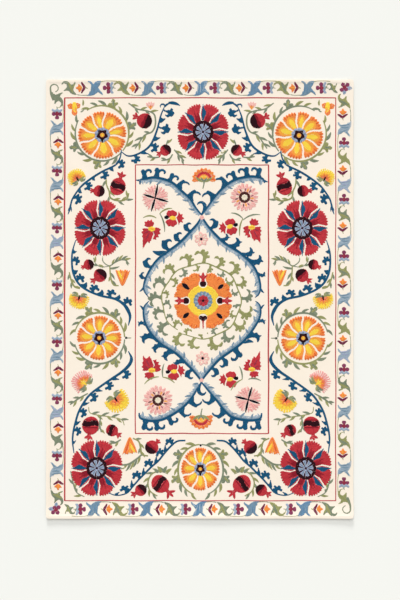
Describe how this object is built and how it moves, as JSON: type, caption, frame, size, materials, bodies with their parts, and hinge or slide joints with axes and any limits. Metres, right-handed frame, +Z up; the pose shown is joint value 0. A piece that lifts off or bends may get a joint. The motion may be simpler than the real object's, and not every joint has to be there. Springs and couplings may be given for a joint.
{
  "type": "suzani embroidered textile",
  "caption": "Flat rectangular cream cotton cloth with a narrow hem, worked all over with a framed flower, vine and pomegranate embroidery.",
  "frame": {"origin": "on the surface under the middle of the cloth", "axes": "+Y to the head of the design, +X to its right, +Z up out of the worked face"},
  "size_m": [1.3999, 1.9999, 0.0145],
  "materials": {
    "ground_cotton": "matt undyed plain-weave cotton",
    "embroidery_silk": "dyed silk thread, couched and chain stitched, with a soft sheen"
  },
  "bodies": {
    "root": {"ground_cloth": "ground_cotton"}
  },
  "joints": []
}
